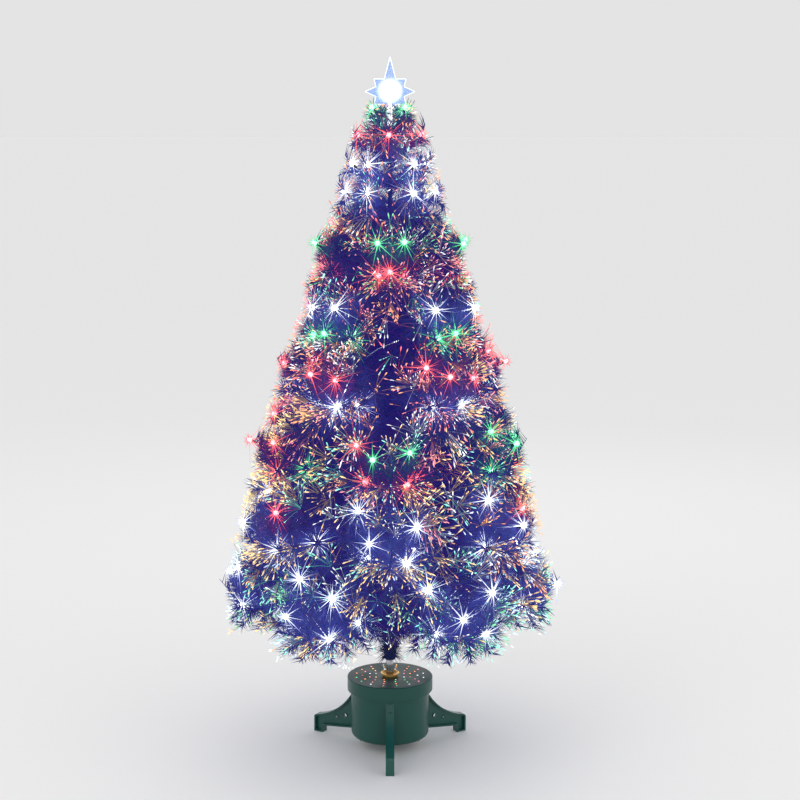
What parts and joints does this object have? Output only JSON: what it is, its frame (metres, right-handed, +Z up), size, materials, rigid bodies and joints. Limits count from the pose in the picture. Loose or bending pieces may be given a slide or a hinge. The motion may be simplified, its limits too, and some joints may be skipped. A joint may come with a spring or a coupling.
{
  "type": "pre-lit artificial christmas tree",
  "caption": "Free-standing pre-lit fibre tree with hinged branches, a lit star on top and a round light housing on three legs.",
  "frame": {"origin": "on the floor, on the trunk's axis", "axes": "+Z up along the trunk, -Y towards the front leg, +X to the right seen from the front"},
  "size_m": [0.8518, 0.7926, 1.799],
  "materials": {
    "housing_green": "satin",
    "screw_steel": "satin",
    "socket_brass": "polished",
    "lamp_ceramic": "matte",
    "lamp_glass": "gloss",
    "wheel_clear": "gloss",
    "motor_steel": "satin",
    "jack_black": "satin",
    "pole_steel": "polished",
    "ferrule_brass": "polished",
    "fibre_clear": "gloss",
    "wrap_green": "matte",
    "collar_green": "matte",
    "foliage_green": "matte",
    "star_clear": "gloss",
    "star_lamp_white": "satin"
  },
  "bodies": {
    "base": {"base_bowl": "housing_green", "base_lid": "housing_green", "leg_front": "housing_green", "leg_left": "housing_green", "leg_right": "housing_green", "bottom_plate": "housing_green", "housing_screws": "screw_steel", "pole_socket": "socket_brass", "lamp_holder": "lamp_ceramic", "lamp": "lamp_glass", "wheel_motor": "motor_steel", "power_jack": "jack_black"},
    "wheel": {"colour_wheel": "wheel_clear"},
    "tree": {"pole_lower": "pole_steel", "pole_upper": "pole_steel", "fibre_ferrule": "ferrule_brass", "fibre_core": "fibre_clear", "trunk_wrap": "wrap_green", "hinge_pins": "screw_steel", "leader_stem": "pole_steel", "top_sprays": "foliage_green", "branch_collar_1": "collar_green", "branch_collar_2": "collar_green", "branch_collar_3": "collar_green", "branch_collar_4": "collar_green", "branch_collar_5": "collar_green", "branch_collar_6": "collar_green"},
    "star": {"star_front": "star_clear", "star_back": "star_clear", "star_light": "star_lamp_white"},
    "branch_1_1_body": {"branch_1_1": "foliage_green"},
    "branch_1_2_body": {"branch_1_2": "foliage_green"},
    "branch_1_3_body": {"branch_1_3": "foliage_green"},
    "branch_1_4_body": {"branch_1_4": "foliage_green"},
    "branch_1_5_body": {"branch_1_5": "foliage_green"},
    "branch_1_6_body": {"branch_1_6": "foliage_green"},
    "branch_2_1_body": {"branch_2_1": "foliage_green"},
    "branch_2_2_body": {"branch_2_2": "foliage_green"},
    "branch_2_3_body": {"branch_2_3": "foliage_green"},
    "branch_2_4_body": {"branch_2_4": "foliage_green"},
    "branch_2_5_body": {"branch_2_5": "foliage_green"},
    "branch_2_6_body": {"branch_2_6": "foliage_green"},
    "branch_3_1_body": {"branch_3_1": "foliage_green"},
    "branch_3_2_body": {"branch_3_2": "foliage_green"},
    "branch_3_3_body": {"branch_3_3": "foliage_green"},
    "branch_3_4_body": {"branch_3_4": "foliage_green"},
    "branch_3_5_body": {"branch_3_5": "foliage_green"},
    "branch_4_1_body": {"branch_4_1": "foliage_green"},
    "branch_4_2_body": {"branch_4_2": "foliage_green"},
    "branch_4_3_body": {"branch_4_3": "foliage_green"},
    "branch_4_4_body": {"branch_4_4": "foliage_green"},
    "branch_4_5_body": {"branch_4_5": "foliage_green"},
    "branch_5_1_body": {"branch_5_1": "foliage_green"},
    "branch_5_2_body": {"branch_5_2": "foliage_green"},
    "branch_5_3_body": {"branch_5_3": "foliage_green"},
    "branch_5_4_body": {"branch_5_4": "foliage_green"},
    "branch_6_1_body": {"branch_6_1": "foliage_green"},
    "branch_6_2_body": {"branch_6_2": "foliage_green"},
    "branch_6_3_body": {"branch_6_3": "foliage_green"},
    "branch_6_4_body": {"branch_6_4": "foliage_green"}
  },
  "joints": [
    {"name": "wheel_spin", "type": "hinge", "parent": "base", "child": "wheel", "pos_m": [0, 0.036, 0.142], "axis": [0, 0, 1], "continuous": true},
    {"name": "tree_lift", "type": "slide", "parent": "base", "child": "tree", "axis": [0, 0, 1], "range_m": [0, 0.06]},
    {"name": "star_lift", "type": "slide", "parent": "tree", "child": "star", "axis": [0, 0, 1], "range_m": [0, 0.06]},
    {"name": "branch_1_1_fold", "type": "hinge", "parent": "tree", "child": "branch_1_1_body", "pos_m": [0.034, 0, 0.43], "axis": [0, -1, 0], "range_deg": [0, 65]},
    {"name": "branch_1_2_fold", "type": "hinge", "parent": "tree", "child": "branch_1_2_body", "pos_m": [0.017, 0.02944, 0.43], "axis": [0.866, -0.5, 0], "range_deg": [0, 65]},
    {"name": "branch_1_3_fold", "type": "hinge", "parent": "tree", "child": "branch_1_3_body", "pos_m": [-0.017, 0.02944, 0.43], "axis": [0.866, 0.5, 0], "range_deg": [0, 65]},
    {"name": "branch_1_4_fold", "type": "hinge", "parent": "tree", "child": "branch_1_4_body", "pos_m": [-0.034, 0, 0.43], "axis": [0, 1, 0], "range_deg": [0, 65]},
    {"name": "branch_1_5_fold", "type": "hinge", "parent": "tree", "child": "branch_1_5_body", "pos_m": [-0.017, -0.02944, 0.43], "axis": [-0.866, 0.5, 0], "range_deg": [0, 65]},
    {"name": "branch_1_6_fold", "type": "hinge", "parent": "tree", "child": "branch_1_6_body", "pos_m": [0.017, -0.02944, 0.43], "axis": [-0.866, -0.5, 0], "range_deg": [0, 65]},
    {"name": "branch_2_1_fold", "type": "hinge", "parent": "tree", "child": "branch_2_1_body", "pos_m": [0.02944, 0.017, 0.598], "axis": [0.5, -0.866, 0], "range_deg": [0, 65]},
    {"name": "branch_2_2_fold", "type": "hinge", "parent": "tree", "child": "branch_2_2_body", "pos_m": [0, 0.034, 0.598], "axis": [1, 0, 0], "range_deg": [0, 65]},
    {"name": "branch_2_3_fold", "type": "hinge", "parent": "tree", "child": "branch_2_3_body", "pos_m": [-0.02944, 0.017, 0.598], "axis": [0.5, 0.866, 0], "range_deg": [0, 65]},
    {"name": "branch_2_4_fold", "type": "hinge", "parent": "tree", "child": "branch_2_4_body", "pos_m": [-0.02944, -0.017, 0.598], "axis": [-0.5, 0.866, 0], "range_deg": [0, 65]},
    {"name": "branch_2_5_fold", "type": "hinge", "parent": "tree", "child": "branch_2_5_body", "pos_m": [0, -0.034, 0.598], "axis": [-1, 0, 0], "range_deg": [0, 65]},
    {"name": "branch_2_6_fold", "type": "hinge", "parent": "tree", "child": "branch_2_6_body", "pos_m": [0.02944, -0.017, 0.598], "axis": [-0.5, -0.866, 0], "range_deg": [0, 65]},
    {"name": "branch_3_1_fold", "type": "hinge", "parent": "tree", "child": "branch_3_1_body", "pos_m": [0.01998, 0.02751, 0.762], "axis": [0.809, -0.5878, 0], "range_deg": [0, 65]},
    {"name": "branch_3_2_fold", "type": "hinge", "parent": "tree", "child": "branch_3_2_body", "pos_m": [-0.01998, 0.02751, 0.762], "axis": [0.809, 0.5878, 0], "range_deg": [0, 65]},
    {"name": "branch_3_3_fold", "type": "hinge", "parent": "tree", "child": "branch_3_3_body", "pos_m": [-0.03234, -0.01051, 0.762], "axis": [-0.309, 0.9511, 0], "range_deg": [0, 65]},
    {"name": "branch_3_4_fold", "type": "hinge", "parent": "tree", "child": "branch_3_4_body", "pos_m": [0, -0.034, 0.762], "axis": [-1, 0, 0], "range_deg": [0, 65]},
    {"name": "branch_3_5_fold", "type": "hinge", "parent": "tree", "child": "branch_3_5_body", "pos_m": [0.03234, -0.01051, 0.762], "axis": [-0.309, -0.9511, 0], "range_deg": [0, 65]},
    {"name": "branch_4_1_fold", "type": "hinge", "parent": "tree", "child": "branch_4_1_body", "pos_m": [0.03234, 0.01051, 0.922], "axis": [0.309, -0.9511, 0], "range_deg": [0, 65]},
    {"name": "branch_4_2_fold", "type": "hinge", "parent": "tree", "child": "branch_4_2_body", "pos_m": [0, 0.034, 0.922], "axis": [1, 0, 0], "range_deg": [0, 65]},
    {"name": "branch_4_3_fold", "type": "hinge", "parent": "tree", "child": "branch_4_3_body", "pos_m": [-0.03234, 0.01051, 0.922], "axis": [0.309, 0.9511, 0], "range_deg": [0, 65]},
    {"name": "branch_4_4_fold", "type": "hinge", "parent": "tree", "child": "branch_4_4_body", "pos_m": [-0.01998, -0.02751, 0.922], "axis": [-0.809, 0.5878, 0], "range_deg": [0, 65]},
    {"name": "branch_4_5_fold", "type": "hinge", "parent": "tree", "child": "branch_4_5_body", "pos_m": [0.01998, -0.02751, 0.922], "axis": [-0.809, -0.5878, 0], "range_deg": [0, 65]},
    {"name": "branch_5_1_fold", "type": "hinge", "parent": "tree", "child": "branch_5_1_body", "pos_m": [0.02404, 0.02404, 1.076], "axis": [0.7071, -0.7071, 0], "range_deg": [0, 65]},
    {"name": "branch_5_2_fold", "type": "hinge", "parent": "tree", "child": "branch_5_2_body", "pos_m": [-0.02404, 0.02404, 1.076], "axis": [0.7071, 0.7071, 0], "range_deg": [0, 65]},
    {"name": "branch_5_3_fold", "type": "hinge", "parent": "tree", "child": "branch_5_3_body", "pos_m": [-0.02404, -0.02404, 1.076], "axis": [-0.7071, 0.7071, 0], "range_deg": [0, 65]},
    {"name": "branch_5_4_fold", "type": "hinge", "parent": "tree", "child": "branch_5_4_body", "pos_m": [0.02404, -0.02404, 1.076], "axis": [-0.7071, -0.7071, 0], "range_deg": [0, 65]},
    {"name": "branch_6_1_fold", "type": "hinge", "parent": "tree", "child": "branch_6_1_body", "pos_m": [0.034, 0, 1.224], "axis": [0, -1, 0], "range_deg": [0, 65]},
    {"name": "branch_6_2_fold", "type": "hinge", "parent": "tree", "child": "branch_6_2_body", "pos_m": [0, 0.034, 1.224], "axis": [1, 0, 0], "range_deg": [0, 65]},
    {"name": "branch_6_3_fold", "type": "hinge", "parent": "tree", "child": "branch_6_3_body", "pos_m": [-0.034, 0, 1.224], "axis": [0, 1, 0], "range_deg": [0, 65]},
    {"name": "branch_6_4_fold", "type": "hinge", "parent": "tree", "child": "branch_6_4_body", "pos_m": [0, -0.034, 1.224], "axis": [-1, 0, 0], "range_deg": [0, 65]}
  ],
  "couplings": [
    {"joint": "branch_1_2_fold", "follows": "branch_1_1_fold", "ratio": 1},
    {"joint": "branch_1_3_fold", "follows": "branch_1_1_fold", "ratio": 1},
    {"joint": "branch_1_4_fold", "follows": "branch_1_1_fold", "ratio": 1},
    {"joint": "branch_1_5_fold", "follows": "branch_1_1_fold", "ratio": 1},
    {"joint": "branch_1_6_fold", "follows": "branch_1_1_fold", "ratio": 1},
    {"joint": "branch_2_1_fold", "follows": "branch_1_1_fold", "ratio": 1},
    {"joint": "branch_2_2_fold", "follows": "branch_1_1_fold", "ratio": 1},
    {"joint": "branch_2_3_fold", "follows": "branch_1_1_fold", "ratio": 1},
    {"joint": "branch_2_4_fold", "follows": "branch_1_1_fold", "ratio": 1},
    {"joint": "branch_2_5_fold", "follows": "branch_1_1_fold", "ratio": 1},
    {"joint": "branch_2_6_fold", "follows": "branch_1_1_fold", "ratio": 1},
    {"joint": "branch_3_1_fold", "follows": "branch_1_1_fold", "ratio": 1},
    {"joint": "branch_3_2_fold", "follows": "branch_1_1_fold", "ratio": 1},
    {"joint": "branch_3_3_fold", "follows": "branch_1_1_fold", "ratio": 1},
    {"joint": "branch_3_4_fold", "follows": "branch_1_1_fold", "ratio": 1},
    {"joint": "branch_3_5_fold", "follows": "branch_1_1_fold", "ratio": 1},
    {"joint": "branch_4_1_fold", "follows": "branch_1_1_fold", "ratio": 1},
    {"joint": "branch_4_2_fold", "follows": "branch_1_1_fold", "ratio": 1},
    {"joint": "branch_4_3_fold", "follows": "branch_1_1_fold", "ratio": 1},
    {"joint": "branch_4_4_fold", "follows": "branch_1_1_fold", "ratio": 1},
    {"joint": "branch_4_5_fold", "follows": "branch_1_1_fold", "ratio": 1},
    {"joint": "branch_5_1_fold", "follows": "branch_1_1_fold", "ratio": 1},
    {"joint": "branch_5_2_fold", "follows": "branch_1_1_fold", "ratio": 1},
    {"joint": "branch_5_3_fold", "follows": "branch_1_1_fold", "ratio": 1},
    {"joint": "branch_5_4_fold", "follows": "branch_1_1_fold", "ratio": 1},
    {"joint": "branch_6_1_fold", "follows": "branch_1_1_fold", "ratio": 1},
    {"joint": "branch_6_2_fold", "follows": "branch_1_1_fold", "ratio": 1},
    {"joint": "branch_6_3_fold", "follows": "branch_1_1_fold", "ratio": 1},
    {"joint": "branch_6_4_fold", "follows": "branch_1_1_fold", "ratio": 1}
  ]
}
